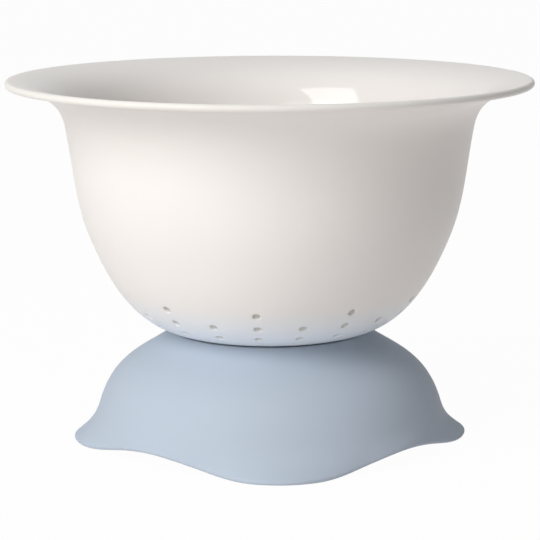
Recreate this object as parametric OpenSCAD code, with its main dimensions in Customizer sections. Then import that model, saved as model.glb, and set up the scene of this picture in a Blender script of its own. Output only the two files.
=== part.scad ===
// Berry colander bowl in two loose pieces: a flared porcelain bowl whose rounded
// underside is pierced with drain holes, and a thin silicone stand with a
// four-lobed hem, which carries the bowl by its foot ring.
// Millimetres, +Z up, front along -Y. The origin is the centre of the surface
// that the stand rests on.

/* [Bowl] */
// Outer diameter across the lip
rim_d = 210; // [196:1:226]
// Height of the bowl, from under its foot ring to the top of the lip
bowl_h = 105; // [98:1:116]
// Thickness of the rounded lip
lip_t = 2.8; // [2.2:0.1:3.4]
// Thickness of the wall below the flare
wall_t = 3; // [2.4:0.1:3.6]
// Outer diameter of the neck, where the flare turns into the side
neck_d = 163; // [154:0.2:170]
// Depth of the neck below the middle of the lip
neck_drop = 17; // [15:0.5:24]
// Outer diameter of the belly, where the side starts to turn under
belly_d = 145.8; // [136:0.2:150]
// Depth of the belly below the middle of the lip
belly_drop = 60; // [52:0.5:68]

/* [Foot ring] */
// Outer diameter of the foot ring
foot_d = 70; // [60:1:76]
// Width of the foot ring
foot_w = 4; // [3:0.5:6]
// Height of the bowl's floor above the seat of the foot ring
foot_h = 3.2; // [2.4:0.1:4.5]
// Rounding of the foot ring's lower corners
foot_round = 1; // [0.4:0.1:1.4]

/* [Drain holes] */
// Diameter of a drain hole
hole_d = 3.7; // [2.6:0.1:4.6]
// Turn of the drain pattern from the front
drain_turn = -4.9; // [-18:0.1:18]

/* [Stand] */
// Height of the seat that the foot ring stands on
seat_h = 41; // [36:1:48]
// Clearance round the foot ring in its seat
seat_gap = 2; // [1:0.5:3]
// Radius of the hollow corner round the seat
seat_fillet = 1.2; // [0.6:0.1:1.8]
// Radius of the rounded bead round the seat
bead_r = 1.8; // [1:0.1:2.2]
// Clearance between the bead and the bowl's underside
bead_gap = 0.5; // [0.4:0.1:1]
// Thickness of the silicone skin
skin_t = 2.2; // [1.6:0.1:3]
// Diameter of the knee, where the dome turns into the skirt
knee_d = 138.8; // [128:0.1:141]
// Height of the knee above the table
knee_h = 14.4; // [12:0.1:20]
// Spread of the skirt, from the knee out to the hem between the lobes
skirt_spread = 3; // [1:0.1:8]

/* [Hem] */
// Number of lobes
lobe_count = 4; // [3:1:5]
// Reach of a lobe beyond the rest of the hem
lobe_reach = 7.4; // [4:0.1:12]
// Rise of the hem above the table midway between two lobes
hem_rise = 5.9; // [2:0.1:8]
// Turn of the lobes from the front
lobe_turn = 4; // [-45:1:45]
// Rounding of the hem's outer edge
hem_round = 1; // [0.5:0.1:1.3]

/* [Hidden] */
$fn = 96;

// Steps on a free curve, on the stand's lining, on a small rounding, round the
// lip and round the stand
curve_steps = 10;
lining_steps = 7;
corner_steps = 3;
lip_steps = 10;
stand_steps = 96;
hole_facets = 24;
// How far a cutter passes the surfaces that it cuts
overrun = 2;

// Slopes of the bowl's outside: at the lip and on its floor from the level,
// at the neck and the belly from the upright
lip_slope = 7;
neck_slope = 10.8;
belly_slope = 21.2;
floor_slope = 2;
// Reach of each curve's two handles, as shares of its chord
flare_shares = [0.51, 0.37];
side_shares = [0.365, 0.33];
under_shares = [0.418, 0.35];
// Slopes of the stand: its dome from the level at the bead, and from the
// upright at the knee, at a lobe's tip and at the hem between lobes
crown_slope = 36.5;
knee_slope = 16.6;
lobe_slope = 56;
valley_slope = 14.5;
dome_shares = [0.39, 0.47];
skirt_shares = [0.5, 0.3];
// Half widths of a lobe and of the flat of the hem under it, as shares of the
// angle from the middle of a lobe to the middle of the gap beside it
lobe_share = 0.66;
flat_share = 0.19;
// Most of the straight wall inside the bead that the hollow corner may take
corner_share = 0.75;

// Drain holes: rows on the curved underside, at shares of its curve, and rings
// on the flat floor, at shares of the clear radius inside the foot ring
row_shares = [0.405, 0.537, 0.677, 0.855];
row_counts = [10, 20, 20, 20];
ring_shares = [0, 0.37, 0.72];
ring_counts = [1, 5, 10];

lip_r = lip_t / 2;
lip_centre = [rim_d / 2 - lip_r, bowl_h - lip_r];
foot_r = foot_d / 2;
foot_mid_r = foot_r - foot_w / 2;
seat_r = foot_r + seat_gap;
front = -90;

// A unit direction in the (radius, height) plane
function heading(angle) = [cos(angle), sin(angle)];

// A quarter turn to the left: from the way down the bowl's outside, walked
// inwards, to the direction that its surface faces
function left_of(d) = [-d[1], d[0]];

// A quarter turn to the right: from the direction that the stand's surface
// faces to the way down it, walked outwards
function right_of(d) = [d[1], -d[0]];

// Four control points of a curve from a to b that leaves and arrives along
// the given directions
function span(a, leave, b, arrive, shares) =
    let (chord = norm(b - a))
    [a, a + leave * shares[0] * chord, b - arrive * shares[1] * chord, b];

// Point on such a curve, for t from 0 to 1
function spot(c, t) =
    pow(1 - t, 3) * c[0] + 3 * t * pow(1 - t, 2) * c[1]
    + 3 * pow(t, 2) * (1 - t) * c[2] + pow(t, 3) * c[3];

// Unit direction of travel there
function course(c, t) =
    let (d = pow(1 - t, 2) * (c[1] - c[0]) + 2 * t * (1 - t) * (c[2] - c[1])
        + pow(t, 2) * (c[3] - c[2]))
    d / norm(d);

// Points of an arc about a centre, from one angle to another
function arc(centre, r, from, to, steps) =
    [for (i = [0 : steps]) centre + r * heading(from + (to - from) * i / steps)];

// A list the other way round
function reversed(list) = [for (i = [len(list) - 1 : -1 : 0]) list[i]];

// The bowl's outside, from the lip inwards and down to its foot, in the
// bowl's own (radius, height) plane, with height 0 under the foot ring
lip_heading = heading(180 + lip_slope);
neck_heading = heading(270 - neck_slope);
belly_heading = heading(270 - belly_slope);
floor_heading = heading(180 + floor_slope);
lip_start = lip_centre + lip_r * left_of(lip_heading);
neck_point = [neck_d / 2, lip_centre[1] - neck_drop];
belly_point = [belly_d / 2, lip_centre[1] - belly_drop];
floor_point = [foot_mid_r, foot_h];
flare_span = span(lip_start, lip_heading, neck_point, neck_heading, flare_shares);
side_span = span(neck_point, neck_heading, belly_point, belly_heading, side_shares);
under_span = span(belly_point, belly_heading, floor_point, floor_heading, under_shares);

// One span's outer points, and the same points moved in by a wall that grows
// evenly along the span
function skin_points(c, first) = [for (i = [first : curve_steps]) spot(c, i / curve_steps)];
function inner_points(c, first, wall_from, wall_to) = [
    for (i = [first : curve_steps])
        let (t = i / curve_steps)
        spot(c, t) - left_of(course(c, t)) * (wall_from + (wall_to - wall_from) * t)
];

module bowl_section() {
    outside = concat(
        skin_points(flare_span, 0),
        skin_points(side_span, 1),
        skin_points(under_span, 1)
    );
    inside = concat(
        inner_points(flare_span, 1, lip_t, wall_t),
        inner_points(side_span, 1, wall_t, wall_t),
        inner_points(under_span, 1, wall_t, wall_t)
    );
    lip = arc(lip_centre, lip_r, lip_slope + 90, lip_slope - 90, lip_steps);
    polygon(concat(
        outside,
        [[0, foot_h], [0, foot_h + wall_t]],
        reversed(inside),
        [for (i = [0 : lip_steps - 1]) lip[i]]
    ));
}

// Foot ring: rounded below, its top buried in the middle of the floor
module foot_section() {
    top = foot_h + wall_t / 2;
    inner_r = foot_r - foot_w;
    polygon(concat(
        [[inner_r, top]],
        arc([inner_r + foot_round, foot_round], foot_round, 180, 270, corner_steps),
        arc([foot_r - foot_round, foot_round], foot_round, 270, 360, corner_steps),
        [[foot_r, top]]
    ));
}

// A ring of drills through the wall, square to it where they meet it
module drill_ring(count, point, normal) {
    for (i = [0 : count - 1])
        rotate([0, 0, front + drain_turn + 360 * i / count])
            translate([point[0], 0, point[1]])
                rotate([0, atan2(normal[0], normal[1]), 0])
                    cylinder(h = wall_t + 2 * overrun, d = hole_d, center = true, $fn = hole_facets);
}

module drain_drills() {
    for (row = [0 : len(row_shares) - 1]) {
        normal = left_of(course(under_span, row_shares[row]));
        middle = spot(under_span, row_shares[row]) - normal * wall_t / 2;
        drill_ring(row_counts[row], middle, normal);
    }
    clear_r = foot_r - foot_w;
    for (ring = [0 : len(ring_shares) - 1])
        drill_ring(ring_counts[ring], [clear_r * ring_shares[ring], foot_h + wall_t / 2], [0, 1]);
}

module colander_bowl() {
    color("whitesmoke")
        translate([0, 0, seat_h])
            difference() {
                union() {
                    rotate_extrude() bowl_section();
                    rotate_extrude() foot_section();
                }
                drain_drills();
            }
}

// The hem at an angle from the front, in degrees. Its radius swells under each
// lobe as a squared cosine, and it lies on the table there and rises as a
// squared sine to the middle of the gap.
half_pitch = 180 / lobe_count;
function off_lobe(a) =
    let (turned = a - lobe_turn + half_pitch, pitch = 2 * half_pitch)
    abs(turned - pitch * floor(turned / pitch) - half_pitch) / half_pitch;
function lobe_weight(a) = pow(cos(90 * min(1, off_lobe(a) / lobe_share)), 2);
function gap_weight(a) =
    pow(sin(90 * max(0, (off_lobe(a) - flat_share) / (1 - flat_share))), 2);
function hem_slope(a) = valley_slope + (lobe_slope - valley_slope) * lobe_weight(a);
function hem_point(a) = [knee_d / 2 + skirt_spread + lobe_reach * lobe_weight(a), hem_rise * gap_weight(a)];

// The stand's section: recess floor, hollow corner, bead, dome, skirt, hem,
// and back up the inside to the underside of the seat
under_points = [for (i = [0 : curve_steps]) spot(under_span, i / curve_steps)];
bead_h = lookup(seat_r + bead_r, under_points) - bead_gap;
bead_centre = [seat_r + bead_r, seat_h + bead_h - bead_r];
seat_corner = min(seat_fillet, corner_share * (bead_h - bead_r));
crown_out = heading(90 - crown_slope);
knee_out = heading(knee_slope);
crown_point = bead_centre + bead_r * crown_out;
knee_point = [knee_d / 2, knee_h];
dome_span = span(crown_point, right_of(crown_out), knee_point, right_of(knee_out), dome_shares);
inner_dome_span = span(
    crown_point - skin_t * crown_out, right_of(crown_out),
    knee_point - skin_t * knee_out, right_of(knee_out),
    dome_shares
);

function skirt_span(start, end, a) =
    span(start, right_of(knee_out), end, right_of(heading(hem_slope(a))), skirt_shares);

// Where the outer skin ends on the hem's rounding, and where the inner skin,
// one thickness further in, comes down to the hem's level
function hem_centre(a) = hem_point(a) + [-hem_round, hem_round];
function outer_hem(a) = hem_centre(a) + hem_round * heading(hem_slope(a));
function inner_hem(a) =
    let (s = hem_slope(a),
        foot = outer_hem(a) - skin_t * heading(s),
        fall = (foot[1] - hem_point(a)[1]) / cos(s))
    foot + fall * right_of(heading(s));

// Underside points stay below the seat's own skin
function under_seat(p) = [p[0], min(p[1], seat_h - skin_t)];

function stand_section(a) = concat(
    arc([seat_r - seat_corner, seat_h + seat_corner], seat_corner, 270, 360, corner_steps),
    arc(bead_centre, bead_r, 180, 90 - crown_slope, 2 * corner_steps),
    [for (i = [1 : curve_steps]) spot(dome_span, i / curve_steps)],
    let (skirt = skirt_span(knee_point, outer_hem(a), a))
        [for (i = [1 : curve_steps]) spot(skirt, i / curve_steps)],
    let (rounding = arc(hem_centre(a), hem_round, hem_slope(a), -90, corner_steps))
        [for (i = [1 : corner_steps]) rounding[i]],
    let (lining = skirt_span(knee_point - skin_t * knee_out, inner_hem(a), a))
        [for (i = [lining_steps : -1 : 0]) spot(lining, i / lining_steps)],
    [for (i = [lining_steps - 1 : -1 : 0]) under_seat(spot(inner_dome_span, i / lining_steps))]
);

// Skin of triangles over one section per step round the stand, closed at the
// middle of the seat and under it
module silicone_stand() {
    sections = [for (j = [0 : stand_steps - 1]) stand_section(360 * j / stand_steps)];
    rings = len(sections[0]);
    rim_points = [
        for (j = [0 : stand_steps - 1])
            let (turn = front + 360 * j / stand_steps)
            for (p = sections[j]) [p[0] * cos(turn), p[0] * sin(turn), p[1]]
    ];
    top = len(rim_points);
    function at(j, k) = (j % stand_steps) * rings + k;
    color("lightsteelblue")
        polyhedron(
            points = concat(rim_points, [[0, 0, seat_h], [0, 0, seat_h - skin_t]]),
            faces = [
                for (j = [0 : stand_steps - 1]) each concat(
                    [[top, at(j + 1, 0), at(j, 0)]],
                    [for (k = [0 : rings - 2]) each [
                        [at(j, k), at(j + 1, k), at(j + 1, k + 1)],
                        [at(j, k), at(j + 1, k + 1), at(j, k + 1)]
                    ]],
                    [[top + 1, at(j, rings - 1), at(j + 1, rings - 1)]]
                )
            ]
        );
}

colander_bowl();
silicone_stand();
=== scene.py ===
"""Looks of a berry colander bowl: flared porcelain with a pierced underside, on a silicone stand.

Everything is in metres, +Z up, with the front of the object along -Y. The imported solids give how
far each piece reaches. Between those limits, both pieces are sections in the (radius, height)
plane that are carried round the axis as whole arrays.
"""

import logging
import math
from dataclasses import dataclass, field
from enum import Enum
from functools import cached_property
from typing import Sequence

import bpy
import numpy as np
from mathutils import Matrix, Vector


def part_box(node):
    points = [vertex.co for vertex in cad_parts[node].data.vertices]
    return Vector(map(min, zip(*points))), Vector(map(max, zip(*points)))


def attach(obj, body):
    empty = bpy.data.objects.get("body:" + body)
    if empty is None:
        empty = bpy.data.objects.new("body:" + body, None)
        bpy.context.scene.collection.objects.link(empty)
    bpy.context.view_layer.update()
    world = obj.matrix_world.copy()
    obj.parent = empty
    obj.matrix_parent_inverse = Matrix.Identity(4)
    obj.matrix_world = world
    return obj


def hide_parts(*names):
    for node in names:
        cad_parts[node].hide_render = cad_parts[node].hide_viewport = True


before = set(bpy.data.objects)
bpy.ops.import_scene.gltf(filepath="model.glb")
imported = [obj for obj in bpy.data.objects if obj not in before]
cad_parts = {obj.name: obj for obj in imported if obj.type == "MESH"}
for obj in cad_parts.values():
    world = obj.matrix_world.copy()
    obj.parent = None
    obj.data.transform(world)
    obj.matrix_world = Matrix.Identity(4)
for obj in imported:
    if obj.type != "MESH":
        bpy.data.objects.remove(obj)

LOG = logging.getLogger("berry_colander")
MM = 0.001
LOBE_LEAD = 1.0015  # a lobe's radius over the stand's half width, as it points past the axis

Array = np.ndarray
Pair = tuple[float, float]
Colour = tuple[float, float, float, float]
Rows = tuple[tuple[float, int, int], ...]
Inputs = dict[str | int, object]


class Finish(Enum):
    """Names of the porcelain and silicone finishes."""

    PORCELAIN = "porcelain"
    SILICONE = "silicone"


def zipped(*parts: Array) -> Array:
    """Arrays side by side along a new last axis."""
    return np.stack(parts, axis=-1)


def heading(degrees: float | Sequence[float] | Array) -> Array:
    """Unit direction in the (radius, height) plane: cosine outwards, sine upwards.

    Args:
        degrees: Angle above the outward level direction, one value or several.

    Returns:
        The direction, with its two coordinates along the last axis.
    """
    angle = np.radians(degrees)
    return zipped(np.cos(angle), np.sin(angle))


def left_of(direction: Array) -> Array:
    """A quarter turn to the left, as from the way down the bowl's outside to the way it faces."""
    return zipped(-direction[..., 1], direction[..., 0])


def span(start: Array, leave: Array, end: Array, arrive: Array, shares: Pair) -> Array:
    """Control points of a free curve whose two handles are shares of its chord.

    Args:
        start: First point, or an array of them.
        leave: Unit direction in which the curve leaves.
        end: Last point.
        arrive: Unit direction in which the curve arrives.
        shares: Length of the first and the second handle over the chord.

    Returns:
        Control points, four along the axis before the last.
    """
    start, leave, end, arrive = np.broadcast_arrays(start, leave, end, arrive)
    chord = np.linalg.norm(end - start, axis=-1, keepdims=True)
    return np.stack(
        [start, start + leave * shares[0] * chord, end - arrive * shares[1] * chord, end], axis=-2
    )


def walk(controls: Array, t: Array) -> Array:
    """Points on free curves: the four controls weighted by the cubic Bernstein terms of t.

    Args:
        controls: Control points from span.
        t: Parameters from 0 to 1.

    Returns:
        Points, with the parameters along the axis before the last.
    """
    weights = zipped((1 - t) ** 3, 3 * t * (1 - t) ** 2, 3 * t**2 * (1 - t), t**3)
    return np.einsum("nk,...kd->...nd", weights, controls)


def course(controls: Array, t: Array) -> Array:
    """Unit directions of travel: the differences of the controls weighted by the squares of t.

    Args:
        controls: Control points of one curve from span.
        t: Parameters from 0 to 1.

    Returns:
        One unit direction for each parameter.
    """
    weights = zipped((1 - t) ** 2, 2 * t * (1 - t), t**2)
    direction = weights @ np.diff(controls, axis=0)
    return direction / np.linalg.norm(direction, axis=-1, keepdims=True)


def arc(
    centre: Array | Sequence[float], radius: float, start: float | Array, end: float, steps: int
) -> Array:
    """Points of an arc: the centre plus the radius along evenly turned directions.

    Args:
        centre: Centre of the arc, or an array of centres.
        radius: Its radius.
        start: Angle of its first point in degrees, one for each centre if there are several.
        end: Angle of its last point in degrees.
        steps: Number of steps between them.

    Returns:
        Points, one more than the steps, along the axis before the last.
    """
    share = np.linspace(0, 1, steps + 1)
    turn = np.asarray(start)[..., None] * (1 - share) + end * share
    return np.asarray(centre)[..., None, :] + radius * heading(turn)


def carry_round(section: Array, turn: Array) -> Array:
    """Places of (radius, height) points at angles from the front towards +X.

    A point at radius r, height z and angle a stands at (r sin a, -r cos a, z).

    Args:
        section: Points in the (radius, height) plane.
        turn: Angles in radians, of a shape that goes with the points' shape without its last axis.

    Returns:
        Places in space.
    """
    radius, height, turn = np.broadcast_arrays(section[..., 0], section[..., 1], turn)
    return zipped(radius * np.sin(turn), -radius * np.cos(turn), height)


def stations(
    start: float, end: float, centres: Sequence[float], half: float, cells: int, pitch: float
) -> tuple[Array, list[int]]:
    """Places for rows of a grid that keeps an even block of cells about each centre.

    Args:
        start: First place.
        end: Last place.
        centres: Middles of the blocks, in rising order.
        half: Half the length of a block.
        cells: Even number of cells in a block.
        pitch: Wished length of a cell between blocks.

    Returns:
        The places, and the index of each centre among them.
    """
    runs: list[Array] = []
    marks: list[int] = []
    count, here = 0, start
    for centre in centres:
        lead = max(1, round((centre - half - here) / pitch))
        runs.append(np.linspace(here, centre - half, lead, endpoint=False))
        runs.append(np.linspace(centre - half, centre + half, cells, endpoint=False))
        marks.append(count + lead + cells // 2)
        count += lead + cells
        here = centre + half
    last = max(1, round((end - here) / pitch))
    runs.append(np.linspace(here, end, last + 1))
    return np.concatenate(runs), marks


def woven(line: Array, beside: Array) -> Array:
    """Quads between two arrays of point numbers, along their second axis."""
    return zipped(line[:, :-1], line[:, 1:], beside[:, 1:], beside[:, :-1]).reshape(-1, 4)


def put(name: str, data: bpy.types.ID) -> bpy.types.Object:
    """Puts data into the scene as an object at the origin.

    Args:
        name: Name of the object.
        data: Its mesh, lamp or camera.

    Returns:
        The new object.
    """
    made = bpy.data.objects.new(name, data)
    bpy.context.scene.collection.objects.link(made)
    return made


def stance(axes: Sequence[Array], place: Sequence[float]) -> Matrix:
    """Where a lamp or camera stands, and how it is turned.

    Args:
        axes: Unit directions of its own x, y and z.
        place: Its place.

    Returns:
        Its matrix.
    """
    turned = Matrix(np.column_stack(axes).tolist()).to_4x4()
    turned.translation = place
    return turned


@dataclass
class Skin:
    """A closed skin of quads and triangles, with a named value at each of its points."""

    points: Array
    quads: Array
    triangles: Array = field(default_factory=lambda: np.zeros((0, 3), int))
    values: dict[str, Array] = field(default_factory=dict)

    def to_object(self, name: str) -> bpy.types.Object:
        """Puts the skin into a smooth-shaded mesh object at the origin.

        Args:
            name: Name of the piece.

        Returns:
            The new object, linked to the scene.
        """
        mesh = bpy.data.meshes.new(name)
        corners = np.concatenate([self.quads.ravel(), self.triangles.ravel()])
        sizes = np.concatenate([np.full(len(self.quads), 4), np.full(len(self.triangles), 3)])
        mesh.vertices.add(len(self.points))
        mesh.vertices.foreach_set("co", self.points.astype(np.float32).ravel())
        mesh.loops.add(len(corners))
        mesh.loops.foreach_set("vertex_index", corners.astype(np.int32))
        mesh.polygons.add(len(sizes))
        mesh.polygons.foreach_set("loop_start", (np.cumsum(sizes) - sizes).astype(np.int32))
        mesh.polygons.foreach_set("use_smooth", np.ones(len(sizes), bool))
        for key, value in self.values.items():
            layer = mesh.attributes.new(key, "FLOAT", "POINT")
            layer.data.foreach_set("value", value.astype(np.float32))
        mesh.update(calc_edges=True)
        mesh.validate()
        return put(name, mesh)


class Outline:
    """A closed section of the bowl, gathered stretch by stretch, with glaze values."""

    def __init__(self) -> None:
        """Starts an empty outline."""
        self.runs: list[Array] = []
        self.values: dict[str, list[Array]] = {"inside": [], "bare": [], "thin": []}
        self.count = 0

    def add(self, points: Array, **values: float | Array) -> int:
        """Adds a stretch.

        Args:
            points: Its points in the (radius, height) plane.
            values: Glaze values that aren't 0, for the stretch or for each point: inside, 1 on the
                inner face; bare, 1 where the clay has no glaze; thin, 1 where clay colour shows
                most, from wear on the lip, and in the bores partly from thin glaze and partly as
                painted shade.

        Returns:
            The index of its first point in the whole outline.
        """
        first = self.count
        self.runs.append(points)
        for name, gathered in self.values.items():
            gathered.append(np.broadcast_to(values.get(name, 0.0), len(points)))
        self.count += len(points)
        return first


@dataclass(frozen=True)
class DrainRow:
    """A ring of drain holes.

    Attributes:
        place: Distance of the holes' middles along the underside, from the belly inwards.
        count: Number of holes round the bowl.
        cells: Even number of the grid's columns that a hole's patch spans.
    """

    place: float
    count: int
    cells: int


@dataclass
class Underside:
    """The pierced part of the wall, from the belly to the axis, as a table along its outer face.

    Attributes:
        place: Distance along the outer face, and on the flat floor towards the axis.
        outer: Points of the outer face.
        inner: Points of the inner face, each straight behind its outer point.
        flow: Unit directions of travel.
    """

    place: Array
    outer: Array
    inner: Array
    flow: Array

    def at(self, table: Array, place: Array | float) -> Array:
        """Reads a table of points or directions at places along the underside."""
        return zipped(*(np.interp(place, self.place, column) for column in table.T))

    def place_of_radius(self, radius: float) -> float:
        """Place at which the outer face has a radius, which falls steadily along it."""
        return float(np.interp(-radius, -self.outer[:, 0], self.place))

    def ring(self, table: Array, place: float, radius: float, turn: Array) -> Array:
        """A ring on one face about a hole's middle.

        Each of its points is a step of the radius in the plane that touches the face at the
        middle. Its angle round the bowl is kept, and its step along the section is looked up on
        the face.

        Args:
            table: Points of the face.
            place: Place of the hole's middle.
            radius: Radius of the ring.
            turn: Angles round the hole in radians, from the way back along the section.

        Returns:
            For each angle, the place along the underside and the angle round the bowl.
        """
        middle, flow = self.at(table, place), self.at(self.flow, place)
        step = -np.cos(turn)[:, None] * radius * flow + middle
        across = np.sin(turn) * radius
        reach = np.hypot(step[:, 0], across)
        along = (reach - middle[0]) * flow[0] + (step[:, 1] - middle[1]) * flow[1]
        near = np.abs(self.place - place) < 3 * radius  # the part of the table that can be met
        run = (table[near] - middle) @ flow
        return zipped(np.interp(along, run, self.place[near]), np.arctan2(across, step[:, 0]))


@dataclass
class ColanderBowl:
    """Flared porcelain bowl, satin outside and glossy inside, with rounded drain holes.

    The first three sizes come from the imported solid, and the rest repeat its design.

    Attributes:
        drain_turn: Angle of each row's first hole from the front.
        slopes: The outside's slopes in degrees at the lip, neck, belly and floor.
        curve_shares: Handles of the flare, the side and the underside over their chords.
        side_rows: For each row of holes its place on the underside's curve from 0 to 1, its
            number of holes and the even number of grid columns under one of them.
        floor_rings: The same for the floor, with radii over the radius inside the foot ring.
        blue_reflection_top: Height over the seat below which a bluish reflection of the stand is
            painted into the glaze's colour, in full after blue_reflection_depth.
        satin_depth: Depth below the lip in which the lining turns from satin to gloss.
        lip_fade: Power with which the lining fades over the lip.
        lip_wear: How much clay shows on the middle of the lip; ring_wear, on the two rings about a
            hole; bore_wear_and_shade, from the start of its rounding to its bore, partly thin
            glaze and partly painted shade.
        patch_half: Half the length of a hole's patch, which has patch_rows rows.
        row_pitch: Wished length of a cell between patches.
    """

    rim_r: float
    top: float
    seat: float
    lip_t: float = 2.8 * MM
    wall_t: float = 3.0 * MM
    neck_r: float = 81.5 * MM
    neck_drop: float = 17.0 * MM
    belly_r: float = 72.9 * MM
    belly_drop: float = 60.0 * MM
    foot_r: float = 35.0 * MM
    foot_w: float = 4.0 * MM
    foot_h: float = 3.2 * MM
    foot_round: float = 1.0 * MM
    foot_fillet: float = 0.8 * MM
    hole_r: float = 1.5 * MM
    hole_round: float = 0.5 * MM
    drain_turn: float = math.radians(-4.9)
    slopes: tuple[float, float, float, float] = (7.0, 10.8, 21.2, 2.0)
    curve_shares: tuple[Pair, ...] = ((0.51, 0.37), (0.365, 0.33), (0.418, 0.35))
    side_rows: Rows = ((0.405, 10, 6), (0.537, 20, 6), (0.677, 20, 6), (0.855, 20, 6))
    floor_rings: Rows = ((0.72, 10, 10), (0.37, 5, 20))
    blue_reflection_top: float = 22.0 * MM
    blue_reflection_depth: float = 13.0 * MM
    satin_depth: float = 22.0 * MM
    lip_fade: float = 4.0
    lip_wear: float = 0.6
    ring_wear: Pair = (0.0, 0.15)
    bore_wear_and_shade: Pair = (0.4, 1.0)
    columns: int = 200
    patch_rows: int = 6
    patch_half: float = 3.2 * MM
    row_pitch: float = 1.6 * MM
    flare_points: int = 25
    side_points: int = 21
    curve_table: int = 1500
    floor_table: int = 500
    lip_steps: int = 16
    round_steps: int = 5
    fillet_steps: int = 4

    def curves(self) -> list[Array]:
        """The outside in three free curves: flare, side and underside, from the lip down.

        Each runs from one knot to the next and keeps the slope that both curves share there.

        Returns:
            The control points of each curve.
        """
        lip, neck, belly, floor = self.slopes
        ways = heading([180 + lip, 270 - neck, 270 - belly, 180 + floor])
        knots = [
            self.lip_centre() + self.lip_t / 2 * left_of(ways[0]),
            np.array([self.neck_r, self.top - self.lip_t / 2 - self.neck_drop]),
            np.array([self.belly_r, self.top - self.lip_t / 2 - self.belly_drop]),
            np.array([self.foot_r - self.foot_w / 2, self.seat + self.foot_h]),
        ]
        return [
            span(knots[k], ways[k], knots[k + 1], ways[k + 1], shares)
            for k, shares in enumerate(self.curve_shares)
        ]

    def lip_centre(self) -> Array:
        """Middle of the rounded lip."""
        return np.array([self.rim_r - self.lip_t / 2, self.top - self.lip_t / 2])

    @cached_property
    def under(self) -> Underside:
        """Both faces from the belly to the axis, finely stepped.

        The outer face follows the underside's curve and then the level floor. The inner face
        lies a wall behind it, square to the way along it. The distance along the outer face is
        the sum of its steps.

        Returns:
            The tables of the underside.
        """
        curve = self.curves()[2]
        t = np.linspace(0, 1, self.curve_table)
        outer, flow = walk(curve, t), course(curve, t)
        inner = outer - left_of(flow) * self.wall_t
        place = np.concatenate([[0], np.cumsum(np.linalg.norm(np.diff(outer, axis=0), axis=1))])
        floor = np.linspace(1, 0, self.floor_table)[1:, None] * np.array([outer[-1, 0], 0])
        floor[:, 1] = outer[-1, 1]
        return Underside(
            place=np.concatenate([place, place[-1] + outer[-1, 0] - floor[:, 0]]),
            outer=np.concatenate([outer, floor]),
            inner=np.concatenate([inner, floor + [0, self.wall_t]]),
            flow=np.concatenate([flow, np.tile([-1.0, 0.0], (len(floor), 1))]),
        )

    def rows(self) -> list[DrainRow]:
        """Rows of holes, each placed by the radius of its middles.

        Returns:
            The rows, from the highest on the underside to the inmost ring on the floor.
        """
        curve = self.curves()[2]
        clear_r = self.foot_r - self.foot_w
        rows = [(walk(curve, np.array([share]))[0, 0], *grid) for share, *grid in self.side_rows]
        rows += [(clear_r * share, *grid) for share, *grid in self.floor_rings]
        return [DrainRow(self.under.place_of_radius(radius), *grid) for radius, *grid in rows]

    def foot(self) -> tuple[Array, Array, Array]:
        """The foot ring in quarter circles, which straight lines join.

        Returns:
            Points of its outer fillet, of its rounded bare tread and of its inner fillet.
        """
        outer_r, inner_r = self.foot_r, self.foot_r - self.foot_w
        fillet, rounding = self.foot_fillet, self.foot_round
        high, low = self.seat + self.foot_h - fillet, self.seat + rounding
        outer_fillet = arc([outer_r + fillet, high], fillet, 90, 180, self.fillet_steps)
        tread = np.concatenate([
            arc([outer_r - rounding, low], rounding, 0, -90, self.round_steps),
            arc([inner_r + rounding, low], rounding, -90, -180, self.round_steps),
        ])
        inner_fillet = arc([inner_r - fillet, high], fillet, 0, 90, self.fillet_steps)
        return outer_fillet, tread, inner_fillet

    def outline(self, rows: list[DrainRow]) -> tuple[Outline, list[int], list[int]]:
        """The closed section, walked from under the lip down the outside and up the inside.

        It passes through the middle hole, so the section never meets the axis.

        Args:
            rows: Rows of holes.

        Returns:
            The outline, and each row's index on its outer and on its inner face.
        """
        flare, side, _ = self.curves()
        under, outline = self.under, Outline()
        flare_t = np.linspace(0, 1, self.flare_points)
        side_t = np.linspace(0, 1, self.side_points)
        mouth_r = self.hole_r + self.hole_round
        outer_rows = [row for row in rows if row.place < under.place_of_radius(self.foot_r)]
        floor_rows = rows[len(outer_rows):]
        layout = (self.patch_half, self.patch_rows, self.row_pitch)

        outline.add(walk(flare, flare_t)[:-1])
        outline.add(walk(side, side_t)[:-1])
        to_foot = under.place_of_radius(self.foot_r + self.foot_fillet)
        spots, marks = stations(0, to_foot, [r.place for r in outer_rows], *layout)
        first = outline.add(under.at(under.outer, spots)[:-1])
        outer_marks = [first + mark for mark in marks]
        outer_fillet, tread, inner_fillet = self.foot()
        outline.add(outer_fillet)
        outline.add(tread, bare=1.0)
        outline.add(inner_fillet[:-1])

        from_foot = under.place_of_radius(self.foot_r - self.foot_w - self.foot_fillet)
        to_mouth = under.place_of_radius(mouth_r)
        spots, marks = stations(from_foot, to_mouth, [r.place for r in floor_rows], *layout)
        first = outline.add(under.at(under.outer, spots)[:-1])
        outer_marks += [first + mark for mark in marks]
        low = self.seat + self.foot_h + self.hole_round
        high = self.seat + self.foot_h + self.wall_t - self.hole_round
        outline.add(arc([mouth_r, low], self.hole_round, -90, -180, self.fillet_steps))
        mouth = arc([mouth_r, high], self.hole_round, 180, 90, self.fillet_steps)
        outline.add(mouth[:-1], inside=1.0)

        spots, marks = stations(0, to_mouth, [r.place for r in rows], *layout)
        first = outline.add(under.at(under.inner, spots)[::-1][:-1], inside=1.0)
        inner_marks = [first + len(spots) - 1 - mark for mark in marks]
        outline.add(self.inner_face(side, side_t, self.wall_t, self.wall_t)[:-1], inside=1.0)
        outline.add(self.inner_face(flare, flare_t, self.lip_t, self.wall_t)[:-1], inside=1.0)
        slope, over = self.slopes[0], np.linspace(0, 1, self.lip_steps)
        lip = arc(self.lip_centre(), self.lip_t / 2, slope + 90, slope - 90, self.lip_steps)[:-1]
        inside, thin = (1 - over) ** self.lip_fade, self.lip_wear * np.sin(math.pi * over)
        outline.add(lip, inside=inside, thin=thin)
        return outline, outer_marks, inner_marks

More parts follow.
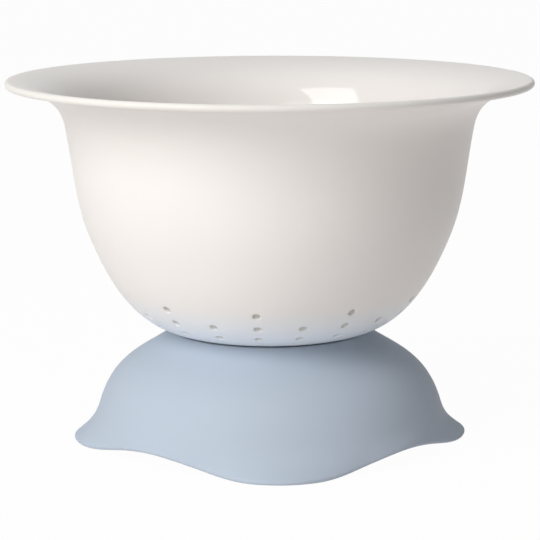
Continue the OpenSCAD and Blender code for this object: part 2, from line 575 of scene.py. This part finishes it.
    @staticmethod
    def inner_face(curve: Array, t: Array, wall_from: float, wall_to: float) -> Array:
        """Inner face behind a curve, from its end back to its start, where the wall grows evenly.

        Args:
            curve: Control points of the outer curve.
            t: Parameters along it.
            wall_from: Wall thickness at its start.
            wall_to: Wall thickness at its end.

        Returns:
            Points from the end of the curve to its start.
        """
        wall = wall_from + (wall_to - wall_from) * t[:, None]
        return (walk(curve, t) - left_of(course(curve, t)) * wall)[::-1]

    def face_rings(self, row: DrainRow, table: Array, facing: Array) -> Array:
        """Rings of one hole on one face, from the patch inwards to the end of the rounding.

        One ring lies halfway from the patch's border to the hole and one where the rounding
        starts. The rounding is a quarter circle: its ring shrinks with the sine of an angle while
        it sinks with one minus the cosine.

        Args:
            row: The hole's row.
            table: Points of the face.
            facing: Unit direction in which the face looks at the hole.

        Returns:
            Radius, height and angle from the hole's middle of each point, with the rings along
            the first axis and the points of a ring along the second.
        """
        under, border = self.under, 2 * (self.patch_rows + row.cells)
        turn = 2 * math.pi * (np.arange(border) - row.cells / 2) / border
        middle, flow = under.at(table, row.place), under.at(under.flow, row.place)
        start = under.ring(table, row.place, self.hole_r + self.hole_round, turn)
        pair = np.stack([(start + self.border_places(row)) / 2, start])
        flat = np.concatenate([under.at(table, pair[..., 0]), pair[..., 1:]], axis=-1)
        radius, height, angle = np.moveaxis(flat[1], -1, 0)
        bulge = (zipped(radius * np.cos(angle), height) - middle) @ facing
        quarter = np.radians(np.linspace(0, 90, self.fillet_steps + 1)[1:, None])
        shrink, sink = 1 - np.sin(quarter), 1 - np.cos(quarter)
        reach = self.hole_r + self.hole_round * shrink
        drop = bulge * shrink - self.hole_round * sink
        along = -np.cos(turn) * reach
        plane = middle + along[..., None] * flow + drop[..., None] * facing
        across = np.sin(turn) * reach
        mouth = zipped(
            np.hypot(plane[..., 0], across), plane[..., 1], np.arctan2(across, plane[..., 0])
        )
        return np.concatenate([flat, mouth])

    def hole_rings(self, row: DrainRow) -> tuple[Array, dict[str, Array]]:
        """Rings of one hole, from the outer patch through the straight bore to the inner patch.

        Args:
            row: The hole's row.

        Returns:
            The points of the rings, and the glaze values of each ring. Clay colour shows most in
            the bore, partly as thin glaze and partly as painted shade.
        """
        out = left_of(self.under.at(self.under.flow, row.place))
        outer = self.face_rings(row, self.under.outer, out)
        inner = self.face_rings(row, self.under.inner, -out)
        depth = len(outer)
        # Clay colour in the bore: partly thin glaze, partly painted shade.
        thin = np.concatenate([self.ring_wear, np.linspace(*self.bore_wear_and_shade, depth - 2)])
        return np.concatenate([outer, inner[::-1]]), {
            "inside": np.repeat([0.0, 1.0], depth),
            "thin": np.concatenate([thin, thin[::-1]]),
            "bare": np.zeros(2 * depth),
        }

    def border_loop(self, row: DrainRow) -> Array:
        """The border of a hole's patch, of which each half is the other one turned about.

        Args:
            row: The hole's row.

        Returns:
            Steps in rows and columns from the hole's middle, from the patch's first corner on.
        """
        tall, wide = self.patch_rows // 2, row.cells // 2
        half = np.concatenate([
            zipped(np.full(row.cells, -tall), np.arange(-wide, wide)),
            zipped(np.arange(-tall, tall), np.full(self.patch_rows, wide)),
        ])
        return np.concatenate([half, -half])

    def border_places(self, row: DrainRow) -> Array:
        """The border of a hole's patch on the bowl: each step times the size of a cell.

        Args:
            row: The hole's row.

        Returns:
            Its places along the underside and its angles round the bowl.
        """
        loop = self.border_loop(row)
        cell, column = 2 * self.patch_half / self.patch_rows, 2 * math.pi / self.columns
        return zipped(row.place + loop[:, 0] * cell, loop[:, 1] * column)

    def skin(self) -> Skin:
        """The whole pierced wall as one closed skin.

        The section is carried round as a grid that closes on itself both ways. Round every hole
        a block of cells is left out on both faces, and rings of points join the two borders.

        Returns:
            The skin, with the values inside, bare, thin, blue_reflection and gloss at each point.
        """
        rows = self.rows()
        outline, outer_marks, inner_marks = self.outline(rows)
        section = np.concatenate(outline.runs)
        tall, wide = len(section), self.columns
        turn = self.drain_turn + 2 * math.pi * np.arange(wide) / wide
        points = [carry_round(section[:, None, :], turn[None, :]).reshape(-1, 3)]
        values = {
            key: [np.repeat(np.concatenate(runs), wide)] for key, runs in outline.values.items()
        }
        index = np.arange(tall * wide).reshape(tall, wide)
        kept = np.ones((tall, wide), bool)
        quads: list[Array] = []
        total = tall * wide
        for row, outer_mark, inner_mark in zip(rows, outer_marks, inner_marks):
            rings, wear = self.hole_rings(row)
            loop = self.border_loop(row)
            columns = np.arange(row.count) * (wide // row.count)
            half_t, half_w = self.patch_rows // 2, row.cells // 2
            across = (columns[:, None] + np.arange(-half_w, half_w)) % wide
            for mark in (outer_mark, inner_mark):
                kept[np.arange(mark - half_t, mark + half_t)[:, None, None], across[None]] = False
            around = (columns[:, None] + loop[:, 1]) % wide
            outer = index[outer_mark + loop[:, 0], around]
            inner = index[inner_mark - loop[:, 0], around]
            count, border = len(rings), len(loop)
            fresh = total + np.arange(row.count * count * border).reshape(row.count, count, border)
            places = carry_round(rings[..., :2], rings[..., 2] + turn[columns][:, None, None])
            points.append(places.reshape(-1, 3))
            for key, value in wear.items():
                values[key].append(np.tile(np.repeat(value, border), row.count))
            total += fresh.size
            bands = np.concatenate([outer[:, None], fresh, inner[:, None]], axis=1)
            quads.append(woven(bands, np.roll(bands, -1, axis=2)))
        down, beside = np.roll(index, -1, axis=0), np.roll(index, -1, axis=1)
        quads.append(zipped(index, down, np.roll(down, -1, axis=1), beside)[kept])
        places = np.concatenate(points)
        joined = {key: np.concatenate(parts) for key, parts in values.items()}
        above, below = places[:, 2] - self.seat, self.top - places[:, 2]
        # Painted reflection: how much of the stand's bluish reflection is painted on the glaze,
        # rising towards the foot.
        joined["blue_reflection"] = np.clip((self.blue_reflection_top - above) / self.blue_reflection_depth, 0, 1)
        joined["gloss"] = joined["inside"] * np.clip(below / self.satin_depth, 0, 1)
        return Skin(points=places, quads=np.concatenate(quads), values=joined)


@dataclass
class SiliconeStand:
    """Thin moulded stand: a recessed seat in a bead, a dome, and a skirt with a lobed hem.

    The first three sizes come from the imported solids, and the rest repeat its design.

    Attributes:
        crown_slope: Slope in degrees of the dome where it leaves the bead.
        knee_slope: How far the skin faces upwards at the knee of dome and skirt, in degrees;
            lobe_slope and valley_slope, at the hem under a lobe and between two.
        lobe_share: Share of half a lobe's pitch over which its radius swells.
        flat_share: Share of it over which the hem lies flat.
        pole_share: Radius of a disc's first ring over that of the disc.
    """

    reach: float
    seat: float
    bead_top: float
    seat_r: float = 37.0 * MM
    seat_fillet: float = 1.1 * MM
    bead_r: float = 1.8 * MM
    skin_t: float = 2.2 * MM
    knee_r: float = 69.4 * MM
    knee_h: float = 14.4 * MM
    skirt_spread: float = 3.0 * MM
    lobe_count: int = 4
    lobe_turn: float = math.radians(4.0)
    hem_rise: float = 5.9 * MM
    hem_round: float = 1.0 * MM
    crown_slope: float = 36.5
    knee_slope: float = 16.6
    lobe_slope: float = 56.0
    valley_slope: float = 14.5
    lobe_share: float = 0.66
    flat_share: float = 0.19
    dome_shares: Pair = (0.39, 0.47)
    skirt_shares: Pair = (0.5, 0.3)
    columns: int = 288
    pole_share: float = 0.1
    disc_rings: int = 11
    dome_points: int = 33
    skirt_points: int = 25
    vault_points: int = 25
    lining_points: int = 21
    bead_steps: int = 14
    fillet_steps: int = 6

    def hem(self, turn: Array) -> tuple[Array, Array]:
        """The hem round the stand.

        Its radius swells under each lobe as a squared cosine. It lies on the table there, and
        rises as a squared sine to the middle of the gap between two lobes.

        Args:
            turn: Angles from the front in radians.

        Returns:
            Hem points in the (radius, height) plane, and the skirt's slope there in degrees.
        """
        half_pitch = math.pi / self.lobe_count
        off = np.abs((turn - self.lobe_turn + half_pitch) % (2 * half_pitch) - half_pitch)
        share = off / half_pitch
        lobe = np.cos(math.pi / 2 * np.minimum(1, share / self.lobe_share)) ** 2
        lift = np.maximum(0, (share - self.flat_share) / (1 - self.flat_share))
        gap = np.sin(math.pi / 2 * lift) ** 2
        valley_r = self.knee_r + self.skirt_spread
        radius = valley_r + (self.reach - valley_r) * lobe
        slope = self.valley_slope + (self.lobe_slope - self.valley_slope) * lobe
        return zipped(radius, self.hem_rise * gap), slope

    def disc(self, radius: float, height: float) -> Array:
        """Rings of a level disc in the section, from its middle to just short of a radius."""
        share = np.linspace(self.pole_share, 1, self.disc_rings + 1)[:-1, None]
        return share * [radius, 0] + [0, height]

    def section(self, turn: Array) -> Array:
        """Sections at all angles: seat, hollow corner, bead, dome, skirt, hem and the lining back.

        Args:
            turn: Angles from the front in radians.

        Returns:
            Points with the angles along the first axis and the section along the second.
        """
        ceiling = self.seat - self.skin_t
        bead = np.array([self.seat_r + self.bead_r, self.bead_top - self.bead_r])
        corner = np.array([self.seat_r - self.seat_fillet, self.seat + self.seat_fillet])
        crown_out, knee_out = heading(90 - self.crown_slope), heading(self.knee_slope)
        crown, knee = bead + self.bead_r * crown_out, np.array([self.knee_r, self.knee_h])
        inner_crown, inner_knee = crown - self.skin_t * crown_out, knee - self.skin_t * knee_out
        dome, vault = (
            span(start, -left_of(crown_out), end, -left_of(knee_out), self.dome_shares)
            for start, end in ((crown, knee), (inner_crown, inner_knee))
        )
        level = np.concatenate([
            self.disc(corner[0], self.seat),
            arc(corner, self.seat_fillet, -90, 0, self.fillet_steps),
            arc(bead, self.bead_r, 180, 90 - self.crown_slope, self.bead_steps),
            walk(dome, np.linspace(0, 1, self.dome_points))[1:],
        ])
        back = walk(vault, np.linspace(0, 1, self.vault_points))[::-1][1:]
        back[:, 1] = np.minimum(back[:, 1], ceiling)
        back = np.concatenate([back, self.disc(back[-1, 0], ceiling)[::-1]])

        hem, slope = self.hem(turn)
        hem_out = heading(slope)
        middle = hem + self.hem_round * np.array([-1.0, 1.0])
        outer_end = middle + self.hem_round * hem_out
        start = outer_end - self.skin_t * hem_out
        fall = (start[:, 1:] - hem[:, 1:]) / np.cos(np.radians(slope))[:, None]
        inner_end = start - fall * left_of(hem_out)
        skirt, lining = (
            span(top, -left_of(knee_out), end, -left_of(hem_out), self.skirt_shares)
            for top, end in ((knee, outer_end), (inner_knee, inner_end))
        )
        return np.concatenate([
            np.broadcast_to(level, (len(turn), *level.shape)),
            walk(skirt, np.linspace(0, 1, self.skirt_points))[:, 1:],
            arc(middle, self.hem_round, slope, -90.0, self.fillet_steps)[:, 1:],
            walk(lining, np.linspace(0, 1, self.lining_points))[:, ::-1],
            np.broadcast_to(back, (len(turn), *back.shape)),
        ], axis=1)

    def skin(self) -> Skin:
        """The whole stand: its sections carried round, and a point at each end of the axis.

        Returns:
            The closed skin.
        """
        turn = 2 * math.pi * np.arange(self.columns) / self.columns
        section = self.section(turn)
        places = carry_round(section, turn[:, None])
        count, length = places.shape[:2]
        index = np.arange(count * length).reshape(count, length)
        beside = np.roll(index, -1, axis=0)
        top, below = count * length, count * length + 1
        caps = np.concatenate([
            zipped(np.full(count, top), index[:, 0], beside[:, 0]),
            zipped(np.full(count, below), beside[:, -1], index[:, -1]),
        ])
        poles = [[0, 0, self.seat], [0, 0, self.seat - self.skin_t]]
        points = np.concatenate([places.reshape(-1, 3), poles])
        return Skin(points=points, quads=woven(index, beside), triangles=caps)


@dataclass(frozen=True)
class Grain:
    """Noise over object space, and the relief that it can stand for.

    Attributes:
        waves: Waves per metre.
        octaves: How many finer waves it has, each as strong as the last one times persistence.
        depth: Depth of the relief in metres.
        shown: How much of the relief shows.
    """

    waves: float
    octaves: float
    persistence: float = 0.5
    depth: float = 0.0
    shown: float = 0.0


class Signal:
    """A number that runs through a node tree, from a socket, with plain arithmetic on it."""

    def __init__(self, graph: "Graph", socket: bpy.types.NodeSocket) -> None:
        """Wraps a socket of a graph."""
        self.graph = graph
        self.socket = socket

    def _math(self, operation: str, *values: "Signal | float") -> "Signal":
        """Adds one Math node and gives its result."""
        return self.graph.signal("Math", dict(enumerate(values)), operation=operation)

    def __add__(self, other: "Signal | float") -> "Signal":
        """Sum with a number or a signal."""
        return self._math("ADD", self, other)

    __radd__ = __add__

    def __mul__(self, other: "Signal | float") -> "Signal":
        """Product with a number or a signal."""
        return self._math("MULTIPLY", self, other)

    __rmul__ = __mul__

    def __sub__(self, other: "Signal | float") -> "Signal":
        """Difference from a number or a signal."""
        return self._math("SUBTRACT", self, other)

    def __rsub__(self, other: float) -> "Signal":
        """Difference of a number from this signal."""
        return self._math("SUBTRACT", other, self)

    def raised(self, power: float) -> "Signal":
        """A power of the signal."""
        return self._math("POWER", self, power)

    def clipped(self) -> "Signal":
        """The signal held between 0 and 1."""
        return self._math("MINIMUM", self._math("MAXIMUM", self, 0.0), 1.0)


class Graph:
    """A node tree that is written as calls and expressions."""

    COLOUR_MIX = (6, 7, 2)  # a Mix node's numbers for its two colours and for the colour it gives

    def __init__(self, tree: bpy.types.NodeTree) -> None:
        """Takes a node tree and empties it."""
        tree.nodes.clear()
        self.tree = tree

    def node(self, kind: str, inputs: Inputs, **settings: object) -> bpy.types.Node:
        """Adds a node.

        Args:
            kind: Node type, without ShaderNode before it.
            inputs: Values or signals by socket name or number.
            settings: Properties, set first.

        Returns:
            The new node.
        """
        made = self.tree.nodes.new("ShaderNode" + kind)
        for key, value in settings.items():
            setattr(made, key, value)
        for key, value in inputs.items():
            if isinstance(value, Signal):
                self.tree.links.new(value.socket, made.inputs[key])
            else:
                made.inputs[key].default_value = value
        return made

    def signal(
        self, kind: str, inputs: Inputs, output: str | int = 0, **settings: object
    ) -> Signal:
        """Adds a node and gives one of its outputs, by name or number."""
        return Signal(self, self.node(kind, inputs, **settings).outputs[output])

    def attribute(self, name: str) -> Signal:
        """A named value of the mesh's points, held between 0 and 1."""
        return self.signal("Attribute", {}, "Fac", attribute_name=name).clipped()

    def noise(self, grain: Grain) -> Signal:
        """Noise over object space.

        Args:
            grain: Its scale and its finer waves.

        Returns:
            The noise, which is about 0.5 in the middle.
        """
        inputs = {
            "Vector": self.signal("TexCoord", {}, "Object"),
            "Scale": grain.waves,
            "Detail": grain.octaves,
            "Roughness": grain.persistence,
        }
        return self.signal("TexNoise", inputs, noise_dimensions="3D")

    def mix_colour(self, factor: Signal, first: object, second: object) -> Signal:
        """Blend from the first colour to the second."""
        a, b, mixed = self.COLOUR_MIX
        return self.signal("Mix", {0: factor, a: first, b: second}, mixed, data_type="RGBA")

    def bump(self, height: Signal, grain: Grain, normal: Signal | None = None) -> Signal:
        """Relief from a height.

        Args:
            height: The height, from 0 to 1.
            grain: What relief it stands for.
            normal: A normal that is bumped already, to add it to.

        Returns:
            The bumped normal.
        """
        inputs = {"Height": height, "Distance": grain.depth, "Strength": grain.shown}
        if normal is not None:
            inputs["Normal"] = normal
        return self.signal("Bump", inputs)


def rgba(red: float, green: float, blue: float) -> Colour:
    """A linear colour with full alpha."""
    return red, green, blue, 1.0


def new_material(name: str) -> tuple[bpy.types.Material, Graph]:
    """A material without nodes.

    Args:
        name: Its name.

    Returns:
        The new material and its emptied tree.
    """
    made = bpy.data.materials.new(name)
    made.use_nodes = True
    return made, Graph(made.node_tree)


@dataclass(frozen=True)
class PorcelainGlaze:
    """Warm white glaze: satin outside and on the lip, glossy inside, with a painted bluish
    reflection near the foot.

    The stand's blue reflection is painted into its colour towards the foot. Clay colour shows on
    the worn lip and in the bores of the holes, where it is partly thin glaze and partly painted
    shade.

    Attributes:
        lining_share: How much of the lining's colour covers the mottled glaze inside.
        wear_and_shade_share: How much clay shows where the glaze wears most: on the lip as wear,
            in the bores partly as thin glaze and partly as painted shade.
        blue_reflection_cover: How much less of that shows under the painted bluish reflection near
            the foot.
        satin_drift: Range of the roughness outside.
        outer_coat: Weight of the clear coat outside, where it is 1 in the gloss lining.
    """

    colour: Colour = rgba(0.865, 0.835, 0.80)
    shade: Colour = rgba(0.845, 0.81, 0.77)
    lining: Colour = rgba(0.874, 0.832, 0.792)
    # Painted reflection of the blue stand on the glaze near the foot.
    blue_reflection_tint: Colour = rgba(0.825, 0.875, 0.93)
    # Clay colour: the bare foot's, and also painted into the bores as shade.
    clay: Colour = rgba(0.62, 0.60, 0.53)
    lining_share: float = 0.75
    wear_and_shade_share: float = 0.4
    blue_reflection_cover: float = 0.6
    satin: float = 0.55
    satin_drift: float = 0.05
    bare_rough: float = 0.9
    body_ior: float = 1.5
    body_shine: float = 0.25
    outer_coat: float = 0.14
    coat_ior: float = 1.46
    polish: float = 0.035
    ripple: Grain = Grain(waves=26.0, octaves=3.0, depth=0.4 * MM, shown=0.10)
    grain: Grain = Grain(waves=900.0, octaves=2.0, depth=0.02 * MM, shown=0.25)

    def material(self) -> bpy.types.Material:
        """Builds the glaze from the bowl's inside, bare, thin, blue_reflection and gloss values.

        Returns:
            The material.
        """
        made, graph = new_material("porcelain_glaze")
        inside, bare, thin, blue_reflection, gloss = (
            graph.attribute(name) for name in ("inside", "bare", "thin", "blue_reflection", "gloss")
        )
        drift, grain = graph.noise(self.ripple), graph.noise(self.grain)
        mottled = graph.mix_colour(drift, self.colour, self.shade)
        warm = graph.mix_colour(inside * self.lining_share, mottled, self.lining)
        # Painted bluish reflection of the stand on the outside near the foot.
        with_blue_reflection = graph.mix_colour(blue_reflection * (1 - inside), warm, self.blue_reflection_tint)
        # Clay colour: worn glaze on the lip, and in the bores partly thin glaze and partly painted
        # shade.
        shows = thin * (1 - blue_reflection * self.blue_reflection_cover) * self.wear_and_shade_share
        worn_and_shaded = graph.mix_colour(shows, with_blue_reflection, self.clay)
        rough = (drift - 0.5) * self.satin_drift + self.satin
        surface = graph.signal("BsdfPrincipled", {
            "Base Color": graph.mix_colour(bare, worn_and_shaded, self.clay),
            "Roughness": (rough + bare * (self.bare_rough - rough)).clipped(),
            "IOR": self.body_ior,
            "Specular IOR Level": self.body_shine,
            "Coat Weight": (gloss * (1 - self.outer_coat) + self.outer_coat) * (1 - bare),
            "Coat Roughness": self.polish,
            "Coat IOR": self.coat_ior,
            "Normal": graph.bump(grain * (1 - inside), self.grain, graph.bump(drift, self.ripple)),
        })
        graph.node("OutputMaterial", {"Surface": surface})
        return made


@dataclass(frozen=True)
class MatteSilicone:
    """Pale grey-blue silicone rubber, matte, with a soft bloom and a fine moulded grain."""

    colour: Colour = rgba(0.492, 0.559, 0.642)
    shade: Colour = rgba(0.473, 0.537, 0.621)
    cloud: Grain = Grain(waves=22.0, octaves=3.0)
    rough: float = 0.62
    rough_drift: float = 0.10
    ior: float = 1.42
    shine: float = 0.06
    bloom: float = 0.22
    bloom_rough: float = 0.3
    grain: Grain = Grain(
        waves=2600.0, octaves=3.0, persistence=0.6, depth=0.03 * MM, shown=0.25
    )

    def material(self) -> bpy.types.Material:
        """Builds the rubber from a slow drift of colour and a fine grain.

        Returns:
            The material.
        """
        made, graph = new_material("matte_silicone")
        drift, grain = graph.noise(self.cloud), graph.noise(self.grain)
        surface = graph.signal("BsdfPrincipled", {
            "Base Color": graph.mix_colour(drift, self.colour, self.shade),
            "Roughness": (drift - 0.5) * self.rough_drift + self.rough,
            "IOR": self.ior,
            "Specular IOR Level": self.shine,
            "Sheen Weight": self.bloom,
            "Sheen Roughness": self.bloom_rough,
            "Normal": graph.bump(grain, self.grain),
        })
        graph.node("OutputMaterial", {"Surface": surface})
        return made


@dataclass(frozen=True)
class Lens:
    """The camera, at the photograph's angle, fitted to the rim, the holes and the stand.

    Attributes:
        distance: From the bowl's axis, to the front.
        height: Above the table.
        pitch: Downward tilt in radians.
        roll: Turn about the line of sight in radians.
        focal_px: Focal length in pixels of a frame that is frame_px wide.
    """

    distance: float = 908.65 * MM
    height: float = 230.6 * MM
    pitch: float = 0.17691
    roll: float = -0.0026
    focal_px: float = 2285.0
    frame_px: int = 540
    sensor_mm: float = 36.0

    def place(self) -> None:
        """Makes the camera and sets it as the scene's."""
        toward = np.array([0.0, math.cos(self.pitch), -math.sin(self.pitch)])
        level = np.array([1.0, 0.0, 0.0])
        upright = np.cross(level, toward)
        right = level * math.cos(self.roll) + upright * math.sin(self.roll)
        up = upright * math.cos(self.roll) - level * math.sin(self.roll)
        data = bpy.data.cameras.new("camera")
        data.sensor_width = self.sensor_mm
        data.lens = self.focal_px / self.frame_px * data.sensor_width
        camera = put("camera", data)
        camera.matrix_world = stance([right, up, -toward], (0.0, -self.distance, self.height))
        bpy.context.scene.camera = camera


@dataclass(frozen=True)
class Softbox:
    """An upright softbox that faces the object.

    Attributes:
        name: Its name.
        azimuth: Direction towards it in degrees, from the front towards +X.
        elevation: Its height in degrees above the level of the aim.
        width: Its level side in metres, as tall is the other one.
        watts: Its power.
        aim: Place that it faces, from which it hangs at the distance.
    """

    name: str
    azimuth: float
    elevation: float
    width: float
    tall: float
    watts: float
    aim: tuple[float, float, float] = (0.0, 0.0, 0.13)
    distance: float = 1.5

    def hang(self) -> None:
        """Makes the lamp and turns it to the aim."""
        round_axis, above = math.radians(self.azimuth), math.radians(self.elevation)
        way = np.array([
            math.sin(round_axis) * math.cos(above),
            -math.cos(round_axis) * math.cos(above),
            math.sin(above),
        ])
        side = np.cross([0.0, 0.0, 1.0], way)
        side /= np.linalg.norm(side)
        data = bpy.data.lights.new(self.name, "AREA")
        data.shape = "RECTANGLE"
        data.size, data.size_y = self.width, self.tall
        data.energy = self.watts
        spot = (np.array(self.aim) + way * self.distance).tolist()
        put(self.name, data).matrix_world = stance([side, np.cross(way, side), way], spot)


@dataclass(frozen=True)
class Studio:
    """A white light table, a large softbox from the front left, a low card and a soft surround.

    Attributes:
        lamps: The lamps. The glossy inside of the bowl mirrors the first.
        sky: Colour of the surround straight above, as a light.
        sky_power: How fast it falls off to the sides.
        table_half: Half the length of the table's side.
        table_grey: Colour of the table where it lights the object.
        table_glow: Light that the table itself gives the object.
        table_seen: How much plain white covers the table to the eye; the rest is its shadow.
    """

    lamps: tuple[Softbox, ...] = (
        Softbox("softbox", azimuth=-42.6, elevation=31.9, width=0.80, tall=0.92, watts=15.8),
        Softbox("low_card", azimuth=-25.0, elevation=2.0, width=0.90, tall=0.90, watts=4.7),
    )
    sky: tuple[float, float, float] = (0.81, 0.83, 0.86)
    sky_power: float = 6.0
    white: Colour = rgba(1.0, 1.0, 1.0)
    table_half: float = 6.0
    table_grey: Colour = rgba(0.40, 0.40, 0.40)
    table_glow: Colour = rgba(0.448, 0.425, 0.419)
    table_seen: float = 0.95

    def set_up(self) -> None:
        """Hangs the lamps, lays the table and puts the surround about them."""
        for lamp in self.lamps:
            lamp.hang()
        self.lay_table()
        self.surround_world()

    def lay_table(self) -> None:
        """Lays the table, which isn't part of the object."""
        half = self.table_half
        mesh = bpy.data.meshes.new("table")
        mesh.from_pydata(
            [(-half, -half, 0), (half, -half, 0), (half, half, 0), (-half, half, 0)],
            [], [(0, 1, 2, 3)],
        )
        mesh.materials.append(self.table_material())
        table = put("table", mesh)

    @staticmethod
    def seen_directly(graph: Graph) -> Signal:
        """Tells what is seen from what only lights.

        Args:
            graph: Tree of the material or the world.

        Returns:
            1 for a ray from the camera, or one by way of gloss or glass, and 0 for any other.
        """
        camera, gloss, glass = (
            graph.signal("LightPath", {}, f"Is {kind} Ray")
            for kind in ("Camera", "Glossy", "Transmission")
        )
        return (camera + gloss + glass).clipped()

    def table_material(self) -> bpy.types.Material:
        """Builds the white table: to the eye almost plain, so only a breath of shadow shows.

        Returns:
            The material.
        """
        made, graph = new_material("white_table")
        matte = graph.signal("BsdfDiffuse", {"Color": self.table_grey})
        lit = graph.signal("Emission", {"Color": self.table_glow})
        body = graph.signal("AddShader", {0: matte, 1: lit})
        plain = graph.signal("Emission", {"Color": self.white})
        seen = self.seen_directly(graph) * self.table_seen
        mixed = graph.signal("MixShader", {0: seen, 1: body, 2: plain})
        graph.node("OutputMaterial", {"Surface": mixed})
        return made

    def surround_world(self) -> None:
        """Surround that is seen as white and lights mostly from above.

        The light falls off as a power of the mean of 1 and the cosine to straight up.
        """
        world = bpy.data.worlds.new("surround")
        world.use_nodes = True
        bpy.context.scene.world = world
        graph = Graph(world.node_tree)
        ray = graph.signal("TexCoord", {}, "Generated")
        up = {0: ray, 1: (0.0, 0.0, 1.0)}
        cosine = graph.signal("VectorMath", up, "Value", operation="DOT_PRODUCT")
        strength = ((cosine + 1.0) * 0.5).raised(self.sky_power)
        light = graph.signal("VectorMath", {0: self.sky, "Scale": strength}, operation="SCALE")
        colour = graph.mix_colour(self.seen_directly(graph), light, self.white)
        shine = graph.signal("Background", {"Color": colour, "Strength": 1.0})
        graph.node("OutputWorld", {"Surface": shine})


def dress(
    piece: bpy.types.Object, body: str, node: str, material: bpy.types.Material
) -> None:
    """Gives a piece its material, puts it on its body and lets it stand for its solid.

    Args:
        piece: The new piece.
        body: Body of the frame that it rides on.
        node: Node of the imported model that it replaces.
        material: Its material.
    """
    piece.data.materials.append(material)
    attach(piece, body)
    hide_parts(node)
    LOG.info("%s: %d faces on %s", piece.name, len(piece.data.polygons), body)


def main() -> None:
    """Builds the bowl, the stand, the light and the camera."""
    logging.basicConfig(level=logging.INFO, format="%(name)s: %(message)s")
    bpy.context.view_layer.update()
    bowl_low, bowl_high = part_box("colander_bowl")
    _, stand_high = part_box("silicone_stand")
    seat = bowl_low[2]
    bowl = ColanderBowl(rim_r=min(-bowl_low[0], bowl_high[0]), top=bowl_high[2], seat=seat)
    stand = SiliconeStand(reach=stand_high[0] * LOBE_LEAD, seat=seat, bead_top=stand_high[2])
    piece, glaze = bowl.skin().to_object("bowl_visual"), PorcelainGlaze().material()
    dress(piece, "bowl", "colander_bowl", glaze)
    piece, rubber = stand.skin().to_object("stand_visual"), MatteSilicone().material()
    dress(piece, "stand", "silicone_stand", rubber)
    Studio().set_up()
    Lens().place()
    bpy.context.scene.view_settings.view_transform = "Standard"
    bpy.context.view_layer.update()


if __name__ == "__main__":
    main()
